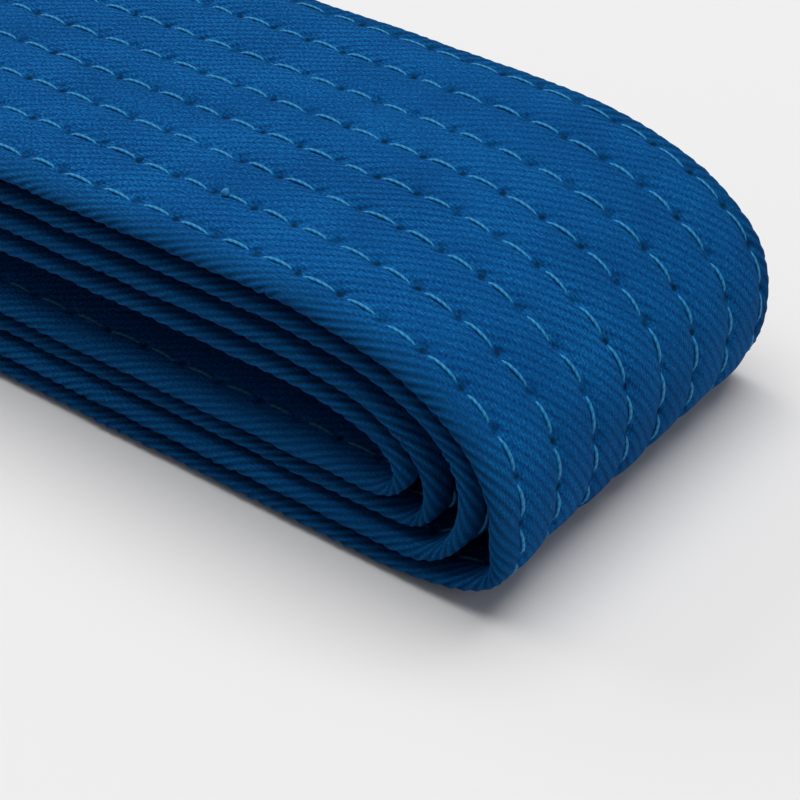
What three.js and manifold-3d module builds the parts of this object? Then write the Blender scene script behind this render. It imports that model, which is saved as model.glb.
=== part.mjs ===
// A martial arts belt wound flat: a quilted cotton strap coiled into a packet
// of four turns. Millimetres, +Z up.
//
// Origin: the middle of the packet's footprint, on the surface it lies on.
// +X runs along the packet towards the end where all four folds are nested,
// +Y runs across the belt's width.
//
// Every piece of the belt is a section swept along one winding path, so the
// pieces stay nested through every fold.

import * as THREE from 'three';
import Module from 'manifold-3d';

const manifoldLibrary = await Module();
manifoldLibrary.setup();
const { Manifold, Mesh: ManifoldMesh } = manifoldLibrary;

// ---- driving dimensions --------------------------------------------------

const PACKET_LENGTH = 334;      // end to end, over the folds
const PACKET_HEIGHT = 21.2;     // over the folds
const TURNS = 4;                // turns of the winding

const STRAP_WIDTH = 40;
const STRAP_THICKNESS = 1.9;
const COVER_WALL = 0.45;        // twill cover
const PLY_SHARE = 0.4;          // share of the hollow that each core ply takes
const PLY_SIDE_GAP = 0.4;       // from a ply's edge to the cover

const ROWS = 8;                 // rows of lockstitch along the belt
const ROW_MARGIN = 3;           // from the belt's edge to the first row
const EDGE_ROUNDING = 0.55;     // of half the thickness, at the long edges
const GROOVE_HALF_WIDTH = 0.45; // the furrow a row of stitches pulls in
const GROOVE_DEPTH = 0.3;
const THREAD_FILL = 0.72;       // share of the furrow that the thread takes
const THREAD_SINK = 0.02;       // thread below the face of the cloth

const LOWER_GAP = 0.08;         // between layers under the middle gap, lying close
const UPPER_GAP = 0.4;          // between layers above it, lying loose
const WAIST_GAP = 1.26;         // the middle gap half way along, where it sags
const FOLD_GAP = 1.25;          // between nested folds, at their noses

const SHOULDER = 23;            // nested end: length of the outermost upper slope
const HEEL = 8;                 // length of the outermost lower curve
const HEEL_STEP = 1.2;          // how much shorter in each nested turn
const NOSE_SHARE = 0.35;        // height of the outermost nose in its fold
const NOSE_SHARE_STEP = 0.03;   // how much higher in each nested turn
const RETURN_RUN = 14;          // other end: length of the outermost curve

const SLOPE_FULLNESS = 0.6;     // how closely the long upper slope hugs its corner
const ROUND_FULLNESS = 0.55;    // the same for the rounder curves

const END_SETBACK = 20;         // from the packet's end to the belt's free ends
const END_STITCH_INSET = 4;     // cross stitching, from the belt's free end
const ROW_INSET = 7;            // the rows start this far from the free end

const FOLD_STEPS = 4;           // facets in each half of a fold

// ---- materials -----------------------------------------------------------

const twill = new THREE.MeshStandardMaterial({ color: '#0f5290', roughness: 0.92, metalness: 0 });
const ply = new THREE.MeshStandardMaterial({ color: '#e6e0d2', roughness: 0.95, metalness: 0 });
const thread = new THREE.MeshStandardMaterial({ color: '#2a8fc0', roughness: 0.55, metalness: 0 });

// ---- the winding path ----------------------------------------------------

const halfStrap = STRAP_THICKNESS / 2;
const lowerPitch = STRAP_THICKNESS + LOWER_GAP;
const upperPitch = STRAP_THICKNESS + UPPER_GAP;
const foldStep = STRAP_THICKNESS + FOLD_GAP;

// Height of the strap's middle in the upper and lower run of a turn.
// Turn 0 is the outermost.
const upperHeight = (turn) => PACKET_HEIGHT - halfStrap - turn * upperPitch;
const lowerHeight = (turn) => halfStrap + turn * lowerPitch;

// The upper layers sag in a straight line from either end to the waist.
const openGap = upperHeight(TURNS - 1) - lowerHeight(TURNS - 1) - STRAP_THICKNESS;
const waistSag = openGap - WAIST_GAP;
const sagSpan = PACKET_LENGTH / 2 - halfStrap - RETURN_RUN;
const sagAt = (x) => waistSag * (1 - Math.abs(x) / sagSpan);

// The two free ends of the belt lie over each other.
const endX = -PACKET_LENGTH / 2 + END_SETBACK;
const innerEndHeight = (x) => upperHeight(TURNS - 1) - sagAt(x);

// How far a turn's fold reaches from the middle of the packet.
const foldReach = (turn) => PACKET_LENGTH / 2 - halfStrap - turn * foldStep;

// The quarter of a fold between two tangent points, as evenly spaced points.
// The corner is where the two tangents meet; a fuller curve hugs it closer.
function foldQuarter(start, corner, end, fullness) {
  const curve = new THREE.CubicBezierCurve3(
    start,
    start.clone().lerp(corner, fullness),
    end.clone().lerp(corner, fullness),
    end,
  );
  return curve.getPoints(FOLD_STEPS);
}

// The nested end: the strap slopes off a long shoulder, drops past the nose
// and turns under in a tight heel.
function nestedFold(turn) {
  const shoulder = SHOULDER - turn * foldStep;
  const heel = HEEL - turn * HEEL_STEP;
  const noseShare = NOSE_SHARE + turn * NOSE_SHARE_STEP;
  const noseHeight = lowerHeight(turn) + noseShare * (upperHeight(turn) - lowerHeight(turn));
  const reach = foldReach(turn);
  const top = new THREE.Vector3(reach - shoulder, 0, upperHeight(turn));
  const nose = new THREE.Vector3(reach, 0, noseHeight);
  const bottom = new THREE.Vector3(reach - heel, 0, lowerHeight(turn));
  const topCorner = new THREE.Vector3(reach, 0, upperHeight(turn));
  const bottomCorner = new THREE.Vector3(reach, 0, lowerHeight(turn));
  return [
    ...foldQuarter(top, topCorner, nose, SLOPE_FULLNESS),
    ...foldQuarter(nose, bottomCorner, bottom, ROUND_FULLNESS).slice(1),
  ];
}

// The other end: a round fold that lifts the lower run of the next turn in
// to the upper run of this one.
function returnFold(turn) {
  const run = RETURN_RUN - turn * foldStep;
  const reach = -foldReach(turn);
  const low = lowerHeight(turn + 1);
  const high = upperHeight(turn);
  const noseHeight = (low + high) / 2;
  const bottom = new THREE.Vector3(reach + run, 0, low);
  const nose = new THREE.Vector3(reach, 0, noseHeight);
  const top = new THREE.Vector3(reach + run, 0, high);
  const bottomCorner = new THREE.Vector3(reach, 0, low);
  const topCorner = new THREE.Vector3(reach, 0, high);
  return [
    ...foldQuarter(bottom, bottomCorner, nose, ROUND_FULLNESS),
    ...foldQuarter(nose, topCorner, top, ROUND_FULLNESS).slice(1),
  ];
}

// The points of the whole belt, from its inner free end to its outer one.
function windingPoints() {
  const rowX = endX + ROW_INSET;
  const points = [
    new THREE.Vector3(endX, 0, innerEndHeight(endX)),
    new THREE.Vector3(rowX, 0, innerEndHeight(rowX)),
  ];
  for (let turn = TURNS - 1; turn >= 0; turn -= 1) {
    points.push(new THREE.Vector3(0, 0, upperHeight(turn) - waistSag));
    points.push(...nestedFold(turn));
    if (turn > 0) {
      points.push(...returnFold(turn - 1));
    }
  }
  points.push(new THREE.Vector3(rowX, 0, lowerHeight(0)));
  points.push(new THREE.Vector3(endX, 0, lowerHeight(0)));
  return points;
}

// A curve through the given points, with one station at each point. Its
// frames keep the section upright: x of a section points to the inside of
// the winding, y across the belt.
class WindingCurve extends THREE.Curve {
  constructor(points) {
    super();
    this.points = points;
  }

  get steps() {
    return this.points.length - 1;
  }

  getPoint(t, target = new THREE.Vector3()) {
    return target.copy(this.points[Math.round(t * this.steps)]);
  }

  getPointAt(u, target) {
    return this.getPoint(u, target);
  }

  stationTangent(index) {
    const here = this.points[index];
    const before = this.points[Math.max(index - 1, 0)];
    const after = this.points[Math.min(index + 1, this.steps)];
    const arriving = here.clone().sub(before).normalize();
    const leaving = after.clone().sub(here).normalize();
    return arriving.add(leaving).normalize();
  }

  computeFrenetFrames() {
    const across = new THREE.Vector3(0, 1, 0);
    const tangents = this.points.map((_, index) => this.stationTangent(index));
    return {
      tangents,
      normals: tangents.map((tangent) => across.clone().cross(tangent)),
      binormals: tangents.map(() => across.clone()),
    };
  }
}

function sweep(section, curve) {
  return new THREE.ExtrudeGeometry(section, {
    steps: curve.steps,
    extrudePath: curve,
    curveSegments: 1,
  });
}

// ---- sections across the strap -------------------------------------------

const rowSpacing = (STRAP_WIDTH - 2 * ROW_MARGIN) / (ROWS - 1);
const rowOffset = (row) => -STRAP_WIDTH / 2 + ROW_MARGIN + row * rowSpacing;

// The furrows of one face, as outline points running towards +Y.
// side is -1 on the outer face of the winding and +1 on the inner face.
function furrowOutline(side) {
  const points = [];
  for (let row = 0; row < ROWS; row += 1) {
    const y = rowOffset(row);
    points.push(new THREE.Vector2(side * halfStrap, y - GROOVE_HALF_WIDTH));
    points.push(new THREE.Vector2(side * (halfStrap - GROOVE_DEPTH), y));
    points.push(new THREE.Vector2(side * halfStrap, y + GROOVE_HALF_WIDTH));
  }
  return points;
}

// The belt's rounded long edge, as outline points running inwards from the
// outer face.
function edgeOutline(direction) {
  const edge = direction * STRAP_WIDTH / 2;
  const rounding = EDGE_ROUNDING * halfStrap;
  const flat = halfStrap - rounding;
  return [
    new THREE.Vector2(-halfStrap, edge - direction * rounding),
    new THREE.Vector2(-flat, edge),
    new THREE.Vector2(flat, edge),
    new THREE.Vector2(halfStrap, edge - direction * rounding),
  ];
}

// A tube of twill: furrowed faces, rounded edges, hollow for the core.
function coverSection() {
  const section = new THREE.Shape([
    ...furrowOutline(-1),
    ...edgeOutline(1),
    ...furrowOutline(1).reverse(),
    ...edgeOutline(-1).reverse(),
  ]);
  const deep = halfStrap - COVER_WALL;
  const wide = STRAP_WIDTH / 2 - COVER_WALL;
  section.holes.push(new THREE.Path([
    new THREE.Vector2(-deep, -wide),
    new THREE.Vector2(deep, -wide),
    new THREE.Vector2(deep, wide),
    new THREE.Vector2(-deep, wide),
  ]));
  return section;
}

// One flat core ply. side is -1 for the outer ply and +1 for the inner one.
function plySection(side) {
  const room = STRAP_THICKNESS - 2 * COVER_WALL;
  const thickness = PLY_SHARE * room;
  const gap = (room - 2 * thickness) / 3;
  const near = side * gap / 2;
  const far = side * (gap / 2 + thickness);
  const wide = STRAP_WIDTH / 2 - COVER_WALL - PLY_SIDE_GAP;
  return new THREE.Shape([
    new THREE.Vector2(near, -wide),
    new THREE.Vector2(far, -wide),
    new THREE.Vector2(far, wide),
    new THREE.Vector2(near, wide),
  ]);
}

// The thread lying in a row's furrow, just below the face of the cloth.
function threadSection(row, side) {
  const y = rowOffset(row);
  const face = halfStrap - THREAD_SINK;
  const half = THREAD_FILL * GROOVE_HALF_WIDTH;
  return new THREE.Shape([
    new THREE.Vector2(side * face, y - half),
    new THREE.Vector2(side * (face - THREAD_FILL * GROOVE_DEPTH), y),
    new THREE.Vector2(side * face, y + half),
  ]);
}

// ---- cross stitching at the two free ends --------------------------------

const endStitchX = endX + END_STITCH_INSET;
const endStitchLength = STRAP_WIDTH - 2 * ROW_MARGIN;

// Where a line of cross stitches lies. side is the face of the strap it is
// on, seen from the strap's own middle: -1 below, +1 above.
function endStitchPlace(height, side) {
  return new THREE.Vector3(endStitchX, 0, height + side * halfStrap);
}

// The channel pressed into the cover by a line of cross stitches.
function endStitchChannel(place) {
  const channel = new THREE.BoxGeometry(
    2 * GROOVE_HALF_WIDTH,
    endStitchLength + GROOVE_HALF_WIDTH,
    2 * GROOVE_DEPTH,
  );
  return channel.translate(place.x, place.y, place.z);
}

// The thread in that channel.
function endStitchThread(side) {
  const depth = THREAD_FILL * GROOVE_DEPTH;
  const width = 2 * THREAD_FILL * GROOVE_HALF_WIDTH;
  const line = new THREE.BoxGeometry(width, endStitchLength, depth);
  return line.translate(0, 0, -side * (THREAD_SINK + depth / 2));
}

// ---- solid subtraction ---------------------------------------------------

const WELD = 1e-5;

// A geometry as a manifold solid, its shared corners welded.
function toSolid(geometry) {
  const corners = [];
  const indexOf = new Map();
  const triangles = [];
  const flat = geometry.index ? geometry.toNonIndexed() : geometry;
  const position = flat.getAttribute('position');
  for (let i = 0; i < position.count; i += 1) {
    const point = new THREE.Vector3().fromBufferAttribute(position, i);
    const key = point.toArray().map((value) => Math.round(value / WELD)).join(',');
    if (!indexOf.has(key)) {
      indexOf.set(key, corners.length / 3);
      corners.push(point.x, point.y, point.z);
    }
    triangles.push(indexOf.get(key));
  }
  return new Manifold(new ManifoldMesh({
    numProp: 3,
    vertProperties: new Float32Array(corners),
    triVerts: new Uint32Array(triangles),
  }));
}

// A manifold solid back as a three.js geometry.
function toGeometry(solid) {
  const mesh = solid.getMesh();
  const geometry = new THREE.BufferGeometry();
  geometry.setAttribute('position', new THREE.BufferAttribute(mesh.vertProperties, 3));
  geometry.setIndex(new THREE.BufferAttribute(mesh.triVerts, 1));
  geometry.computeVertexNormals();
  return geometry;
}

function cutFrom(geometry, cutters) {
  let solid = toSolid(geometry);
  for (const cutter of cutters) {
    solid = solid.subtract(toSolid(cutter));
  }
  return toGeometry(solid);
}

// ---- the belt ------------------------------------------------------------

const belt = new THREE.Group();
belt.name = 'martial_arts_belt';

const stations = windingPoints();
const wholeBelt = new WindingCurve(stations);
const rowLength = new WindingCurve(stations.slice(1, -1));

// The four lines of cross stitching: both faces of both free ends.
const endHeights = { inner: innerEndHeight(endStitchX), outer: lowerHeight(0) };
const endStitches = [
  { name: 'end_stitch_inner_needle', height: endHeights.inner, side: 1 },
  { name: 'end_stitch_inner_bobbin', height: endHeights.inner, side: -1 },
  { name: 'end_stitch_outer_needle', height: endHeights.outer, side: -1 },
  { name: 'end_stitch_outer_bobbin', height: endHeights.outer, side: 1 },
].map((stitch) => ({ ...stitch, place: endStitchPlace(stitch.height, stitch.side) }));

function addPiece(name, geometry, material) {
  const piece = new THREE.Mesh(geometry, material);
  piece.name = name;
  belt.add(piece);
  return piece;
}

const channels = endStitches.map((stitch) => endStitchChannel(stitch.place));
addPiece('cover', cutFrom(sweep(coverSection(), wholeBelt), channels), twill);
addPiece('core_ply_outer', sweep(plySection(-1), wholeBelt), ply);
addPiece('core_ply_inner', sweep(plySection(1), wholeBelt), ply);

for (let row = 0; row < ROWS; row += 1) {
  addPiece(`needle_thread_${row + 1}`, sweep(threadSection(row, -1), rowLength), thread);
  addPiece(`bobbin_thread_${row + 1}`, sweep(threadSection(row, 1), rowLength), thread);
}

for (const stitch of endStitches) {
  const piece = addPiece(stitch.name, endStitchThread(stitch.side), thread);
  piece.position.copy(stitch.place);
}

export default belt;
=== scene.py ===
"""Looks of a martial arts belt: a quilted cotton strap wound flat in four turns.

Every piece is shaped flat first, as a maker cuts and sews it, and is then
wound: a flat place is (s, y, h), where s runs along the belt, y across it and
h stands off its middle towards the outside of the winding. Metres.
"""

from __future__ import annotations

import logging
import math
from dataclasses import dataclass, field
from enum import Enum

import bmesh
import bpy
import numpy as np
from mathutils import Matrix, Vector


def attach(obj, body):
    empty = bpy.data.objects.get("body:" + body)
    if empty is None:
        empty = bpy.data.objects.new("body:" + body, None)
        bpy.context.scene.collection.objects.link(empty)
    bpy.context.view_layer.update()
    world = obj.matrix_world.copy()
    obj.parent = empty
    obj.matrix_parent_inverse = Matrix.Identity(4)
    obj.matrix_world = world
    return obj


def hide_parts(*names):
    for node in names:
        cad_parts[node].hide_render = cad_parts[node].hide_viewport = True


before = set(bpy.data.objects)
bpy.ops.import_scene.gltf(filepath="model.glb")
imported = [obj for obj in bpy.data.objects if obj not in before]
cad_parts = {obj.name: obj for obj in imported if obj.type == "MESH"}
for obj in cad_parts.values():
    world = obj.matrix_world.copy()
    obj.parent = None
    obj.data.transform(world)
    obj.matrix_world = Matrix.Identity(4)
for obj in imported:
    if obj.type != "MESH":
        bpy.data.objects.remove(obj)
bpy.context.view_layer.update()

LOG = logging.getLogger("belt")
MM = 0.001
BODY = "root"
Colour = tuple[float, float, float, float]
Place = tuple[float, float, float]
Fed = float | Colour | bpy.types.NodeSocket
QUARTER_POINTS = 60
RUN_POINTS = 400
KERNEL_REACH = 4


def eased(value: np.ndarray, low: float, high: float) -> np.ndarray:
    """Rise smoothly from 0 at low to 1 at high."""
    share = np.clip((value - low) / (high - low), 0, 1)
    return share**2 * (3 - 2 * share)


class Face(Enum):
    """The two faces of the strap. The value is the sign of h there."""

    OUTER = 1
    INNER = -1


# ---------------------------------------------------------------- winding


@dataclass(frozen=True)
class WindingPath:
    """The path that the strap's middle follows, from its inner free end out.

    The packet's size, the gaps and the strap are those of the solid model. The
    heels, the noses, the drift, the curl and the skew are the looks' own. Turn 0
    is the outermost.
    """

    packet_length: float = 334 * MM
    packet_height: float = 21.2 * MM
    turns: int = 4
    thickness: float = 1.9 * MM
    lower_gap: float = 0.08 * MM
    upper_gap: float = 0.4 * MM
    waist_gap: float = 1.26 * MM
    fold_gap: float = 1.25 * MM
    shoulder: float = 23 * MM
    heels: tuple[float, ...] = (6.2 * MM, 4.8 * MM, 2.6 * MM, 2.8 * MM)
    heel_fullness: tuple[float, ...] = (0.72, 0.56, 0.80, 0.75)
    nose_shares: tuple[float, ...] = (0.41, 0.47, 0.36, 0.35)
    nose_shifts: tuple[float, ...] = (0.0, 0.5 * MM, -0.1 * MM, 0.6 * MM)
    return_run: float = 14 * MM
    slope_fullness: float = 0.6
    round_fullness: float = 0.55
    end_setback: float = 20 * MM
    sag_span: float = 141 * MM
    upper_drift: tuple[float, ...] = (0.0, 0.2 * MM, 0.0, 0.1 * MM)
    lower_drift: tuple[float, ...] = (-0.3 * MM, -0.4 * MM, 0.35 * MM, 0.0)
    drift_past: float = 100 * MM
    drift_middle: float = 0.45
    drift_ease: float = 8 * MM
    floor_gap: float = 0.01 * MM
    edge_share: float = 0.62
    edge_from: float = 16.2 * MM
    edge_full: float = 19.6 * MM
    curl_up: float = 1.3 * MM
    curl_out: float = 1.7 * MM
    curl_from: float = -11 * MM
    curl_edge: float = -20 * MM
    curl_past: float = 155 * MM
    curl_full: float = 165 * MM
    curl_height: float = 9 * MM
    skew: float = -0.053
    skew_from: float = 115 * MM
    skew_full: float = 155 * MM
    smoothing: float = 1.0 * MM
    step: float = 0.2 * MM
    table: dict[str, np.ndarray] = field(default_factory=dict, compare=False)

    def __post_init__(self) -> None:
        """Fill the table of places and directions along the path."""
        self.table.update(self._measure(self._corner_points()))

    @property
    def length(self) -> float:
        """Length of the belt."""
        return float(self.table["s"][-1])

    def upper_height(self, turn: int) -> float:
        """Height of a turn's upper run, before it sags."""
        pitch = self.thickness + self.upper_gap
        return self.packet_height - self.thickness / 2 - turn * pitch

    def lower_height(self, turn: int) -> float:
        """Height of a turn's lower run."""
        return self.thickness / 2 + turn * (self.thickness + self.lower_gap)

    def fold_reach(self, turn: int) -> float:
        """How far a turn's folds reach from the middle of the packet."""
        step = self.thickness + self.fold_gap
        return (self.packet_length - self.thickness) / 2 - turn * step

    def sag(self, x: np.ndarray) -> np.ndarray:
        """How far the upper runs hang below their height over the folds."""
        last = self.turns - 1
        room = self.upper_height(last) - self.lower_height(last) - self.thickness
        share = np.clip(np.abs(x) / self.sag_span, 0, 1)
        return (room - self.waist_gap) * (0.5 + 0.5 * np.cos(np.pi * share))

    @staticmethod
    def _quarter(
        start: tuple[float, float],
        corner: tuple[float, float],
        end: tuple[float, float],
        fullness: float,
    ) -> np.ndarray:
        """A quarter of a fold between two tangent points.

        Args:
            start: First point (x, z).
            corner: Where the two tangents meet.
            end: Last point.
            fullness: How closely the curve hugs the corner, 0 to 1.

        Returns:
            The points of the curve, one a row.
        """
        a, c, b = (np.array(p) for p in (start, corner, end))
        first, second = a + (c - a) * fullness, b + (c - b) * fullness
        t = np.linspace(0, 1, QUARTER_POINTS)[:, None]
        return (
            (1 - t) ** 3 * a
            + 3 * (1 - t) ** 2 * t * first
            + 3 * (1 - t) * t**2 * second
            + t**3 * b
        )

    def _nested_fold(self, turn: int) -> np.ndarray:
        """The fold at the end where all the turns are nested, top to bottom."""
        step = self.thickness + self.fold_gap
        high, low = self.upper_height(turn), self.lower_height(turn)
        share = self.nose_shares[turn]
        reach = self.fold_reach(turn) + self.nose_shifts[turn]
        top = (reach - self.shoulder + turn * step, high)
        nose = (reach, low + share * (high - low))
        bottom = (reach - self.heels[turn], low)
        return np.vstack(
            [
                self._quarter(top, (reach, high), nose, self.slope_fullness),
                self._quarter(nose, (reach, low), bottom, self.heel_fullness[turn]),
            ]
        )

    def _return_fold(self, turn: int) -> np.ndarray:
        """The fold at the other end, up into a turn's upper run."""
        step = self.thickness + self.fold_gap
        high, low = self.upper_height(turn), self.lower_height(turn + 1)
        reach = -self.fold_reach(turn)
        inner = reach + self.return_run - turn * step
        nose = (reach, (high + low) / 2)
        return np.vstack(
            [
                self._quarter((inner, low), (reach, low), nose, self.round_fullness),
                self._quarter(nose, (reach, high), (inner, high), self.round_fullness),
            ]
        )

    def _corner_points(self) -> np.ndarray:
        """The path's points (x, z), before they are evened out."""
        end_x = -self.packet_length / 2 + self.end_setback
        parts, x = [], end_x
        for turn in range(self.turns - 1, -1, -1):
            fold = self._nested_fold(turn)
            run = np.linspace(x, fold[0, 0], RUN_POINTS)[:-1]
            height = self.upper_height(turn) - self.sag(run)
            parts += [np.column_stack([run, height]), fold]
            if turn:
                back = self._return_fold(turn - 1)
                parts.append(back)
                x = back[-1, 0]
        parts.append(np.array([[end_x, self.lower_height(0)]]))
        return np.vstack(parts)

    def _measure(self, corners: np.ndarray) -> dict[str, np.ndarray]:
        """Even out the path and measure it.

        Args:
            corners: Points (x, z) of the path.

        Returns:
            Arrays along the path: s, x, z, tx, tz and bend, the curvature.
            The cloth keeps its length on the outside of a fold and wrinkles
            on the inside, so s is measured along the outer face.
        """
        gaps = np.hypot(*np.diff(corners, axis=0).T)
        corners = corners[np.r_[True, gaps > 1e-9]]
        run = np.r_[0, np.cumsum(np.hypot(*np.diff(corners, axis=0).T))]
        count = int(round(run[-1] / self.step))
        even = np.linspace(0, run[-1], count + 1)
        places = np.column_stack([np.interp(even, run, c) for c in corners.T])
        reach = int(KERNEL_REACH * self.smoothing / self.step)
        offsets = np.arange(-reach, reach + 1) * self.step / self.smoothing
        kernel = np.exp(-0.5 * offsets**2)
        kernel /= kernel.sum()
        head = 2 * places[0] - places[reach:0:-1]
        tail = 2 * places[-1] - places[-2 : -reach - 2 : -1]
        padded = np.vstack([head, places, tail])
        places = np.column_stack([np.convolve(c, kernel, "valid") for c in padded.T])
        steps = np.hypot(*np.diff(places, axis=0).T)
        middle = np.r_[0, np.cumsum(steps)]
        tangent = np.gradient(places, middle, axis=0)
        tangent /= np.linalg.norm(tangent, axis=1)[:, None]
        turned = np.unwrap(np.arctan2(tangent[:, 1], tangent[:, 0]))
        s = middle - self.thickness / 2 * (turned - turned[0])
        return {
            "s": s,
            "x": places[:, 0],
            "z": places[:, 1],
            "tx": tangent[:, 0],
            "tz": tangent[:, 1],
            "bend": np.gradient(turned, middle),
        }

    def at(self, name: str, s: np.ndarray) -> np.ndarray:
        """One of the table's columns at the given lengths."""
        return np.interp(s, self.table["s"], self.table[name])

    def place(self, s: np.ndarray, y: np.ndarray, h: np.ndarray) -> np.ndarray:
        """Wind flat places on to the path.

        Args:
            s: Lengths along the belt.
            y: Places across it.
            h: Heights off its middle, towards the outside of the winding.

        Returns:
            The wound places, one a row.
        """
        h = h * (1 - (1 - self.edge_share) * eased(np.abs(y), self.edge_from, self.edge_full))
        x = self.at("x", s) - self.at("tz", s) * h
        z = self.at("z", s) + self.at("tx", s) * h
        curled = self._curled(s, x, y, z)
        x, z = x + self.curl_out * curled, z + self.curl_up * curled
        y = y + self._drift(s)
        x = x + self.skew * y * eased(x, self.skew_from, self.skew_full)
        return np.column_stack([x, y, np.maximum(z, self.floor_gap)])

    def _curled(self, s: np.ndarray, x: np.ndarray, y: np.ndarray, z: np.ndarray) -> np.ndarray:
        """How much the outer fold's near corner curls up off the floor, 0 to 1.

        Args:
            s: Lengths along the belt.
            x: Places along the packet.
            y: Places across it.
            z: Heights.

        Returns:
            The share of the full curl at each place.
        """
        outermost = s > self.spans_beyond(self.drift_past)[-1][0]
        near = eased(y, self.curl_from, self.curl_edge)
        far_along = eased(x, self.curl_past, self.curl_full)
        low = 1 - eased(z, 0, self.curl_height)
        return outermost * near * far_along * low

    def _drift(self, s: np.ndarray) -> np.ndarray:
        """How far the strap has slid sideways, as hand-wound layers do."""
        lengths, drifts = [], []
        for number, (start, end) in enumerate(self.spans_beyond(self.drift_past)):
            turn = self.turns - 1 - number
            nose = (1 - self.drift_middle) * start + self.drift_middle * end
            lengths += [start, nose - self.drift_ease, nose + self.drift_ease, end]
            drifts += [self.upper_drift[turn]] * 2 + [self.lower_drift[turn]] * 2
        return np.interp(s, lengths, drifts)

    def spans_beyond(self, x: float) -> list[tuple[float, float]]:
        """The lengths (start, end) where the path lies past a given x."""
        past = np.r_[False, self.table["x"] > x, False]
        turns = np.flatnonzero(np.diff(past.astype(int)))
        s = self.table["s"]
        return [(s[a], s[b - 1]) for a, b in zip(turns[::2], turns[1::2])]


# ---------------------------------------------------------------- finishes


class Nodes:
    """Short ways to add nodes to a node tree."""

    def __init__(self, tree: bpy.types.NodeTree) -> None:
        """Start on a tree."""
        self.tree = tree

    def add(
        self, kind: str, inputs: dict[str | int, Fed] | None = None, **facts: object
    ) -> bpy.types.Node:
        """Add a node.

        Args:
            kind: The node's type.
            inputs: Its inputs by name or number: a value or an output.
            **facts: Its other properties.

        Returns:
            The node.
        """
        node = self.tree.nodes.new(kind)
        for name, value in facts.items():
            setattr(node, name, value)
        for name, value in (inputs or {}).items():
            self.feed(node.inputs[name], value)
        return node

    def feed(self, socket: bpy.types.NodeSocket, value: Fed) -> None:
        """Link an output to an input, or set its value."""
        if isinstance(value, bpy.types.NodeSocket):
            self.tree.links.new(value, socket)
        else:
            socket.default_value = value

    def math(
        self, operation: str, a: Fed, b: Fed = 0.0, c: Fed = 0.0, clamp: bool = False
    ) -> bpy.types.NodeSocket:
        """Add a Math node and return its output."""
        node = self.add("ShaderNodeMath", {0: a, 1: b, 2: c}, operation=operation)
        node.use_clamp = clamp
        return node.outputs[0]

    def step(self, value: Fed, low: Fed, high: Fed) -> bpy.types.NodeSocket:
        """Rise smoothly from 0 at low to 1 at high."""
        node = self.add(
            "ShaderNodeMapRange",
            {"Value": value, "From Min": low, "From Max": high},
            interpolation_type="SMOOTHSTEP",
        )
        return node.outputs["Result"]

    def noise(self, vector: Fed, scale: float, detail: float = 2.0) -> bpy.types.NodeSocket:
        """Add 3-D noise and return its value."""
        node = self.add(
            "ShaderNodeTexNoise", {"Vector": vector, "Scale": scale, "Detail": detail}
        )
        return node.outputs["Fac"]

    def pair(self, x: Fed, y: Fed) -> bpy.types.NodeSocket:
        """Join two values into a vector."""
        return self.add("ShaderNodeCombineXYZ", {"X": x, "Y": y}).outputs[0]

    def blend(self, factor: Fed, a: Fed, b: Fed) -> bpy.types.NodeSocket:
        """Mix two colours and return the colour."""
        node = self.add("ShaderNodeMix", {0: factor, 6: a, 7: b}, data_type="RGBA")
        return node.outputs[2]

    def cloth(self) -> bpy.types.NodeSocket:
        """The piece's own cloth coordinates."""
        return self.add("ShaderNodeUVMap", uv_map="cloth").outputs["UV"]

    def bump(
        self, height: Fed, distance: float, strength: float = 1.0, under: Fed | None = None
    ) -> bpy.types.NodeSocket:
        """Add a Bump node, over another one if given, and return its normal."""
        inputs = {"Height": height, "Distance": distance, "Strength": strength}
        if under is not None:
            inputs["Normal"] = under
        return self.add("ShaderNodeBump", inputs).outputs[0]


def new_material(name: str, roughness: float, specular: float | None = None) -> tuple:
    """Make a material with a plain Principled shader.

    Args:
        name: Its name.
        roughness: How matt it is.
        specular: How much it mirrors, or None for the shader's usual value.

    Returns:
        The material, its nodes and the shader's inputs.
    """
    material = bpy.data.materials.new(name)
    material.use_nodes = True
    inputs = material.node_tree.nodes["Principled BSDF"].inputs
    inputs["Roughness"].default_value = roughness
    if specular is not None:
        inputs["Specular IOR Level"].default_value = specular
    return material, Nodes(material.node_tree), inputs


def new_group(name: str, takes: dict[str, float], gives: list[str]) -> tuple:
    """Make an empty shader node group.

    Args:
        name: The group's name.
        takes: Its inputs and their usual values.
        gives: Its outputs, all values.

    Returns:
        The group, its nodes, and the sockets of its input by name.
    """
    group = bpy.data.node_groups.new(name, "ShaderNodeTree")
    for label, value in takes.items():
        socket = group.interface.new_socket(label, in_out="INPUT", socket_type="NodeSocketFloat")
        socket.default_value = value
    for label in gives:
        group.interface.new_socket(label, in_out="OUTPUT", socket_type="NodeSocketFloat")
    nodes = Nodes(group)
    entry = nodes.add("NodeGroupInput")
    return group, nodes, entry.outputs


@dataclass(frozen=True)
class EdgeWales:
    """The slanted ribs of the cloth round the strap's long edges.

    They lie along and around apart, and sway in a slow and a quick wave.
    """

    along: float = 1.44 * MM
    around: float = 1.0 * MM
    slow_along: float = 330
    slow_around: float = 500
    slow_sway: float = 0.16
    quick_along: float = 790
    quick_phase: float = 1.3
    quick_sway: float = 0.12

    def turn(self, s: np.ndarray, t: np.ndarray) -> np.ndarray:
        """Number of ribs passed up to a place of the cloth."""
        slow = self.slow_sway * np.sin(self.slow_along * s + self.slow_around * t)
        quick = self.quick_sway * np.sin(self.quick_along * s + self.quick_phase)
        return s / self.along - t / self.around + slow + quick

    @staticmethod
    def strength(s: np.ndarray) -> np.ndarray:
        """How strong the ribs are along the belt, about 1."""
        swell = np.sin(570 * s + 2.1) * np.sin(210 * s + 0.4)
        return 1 + 0.4 * swell + 0.2 * np.sin(1290 * s)


WALES = EdgeWales()


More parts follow.
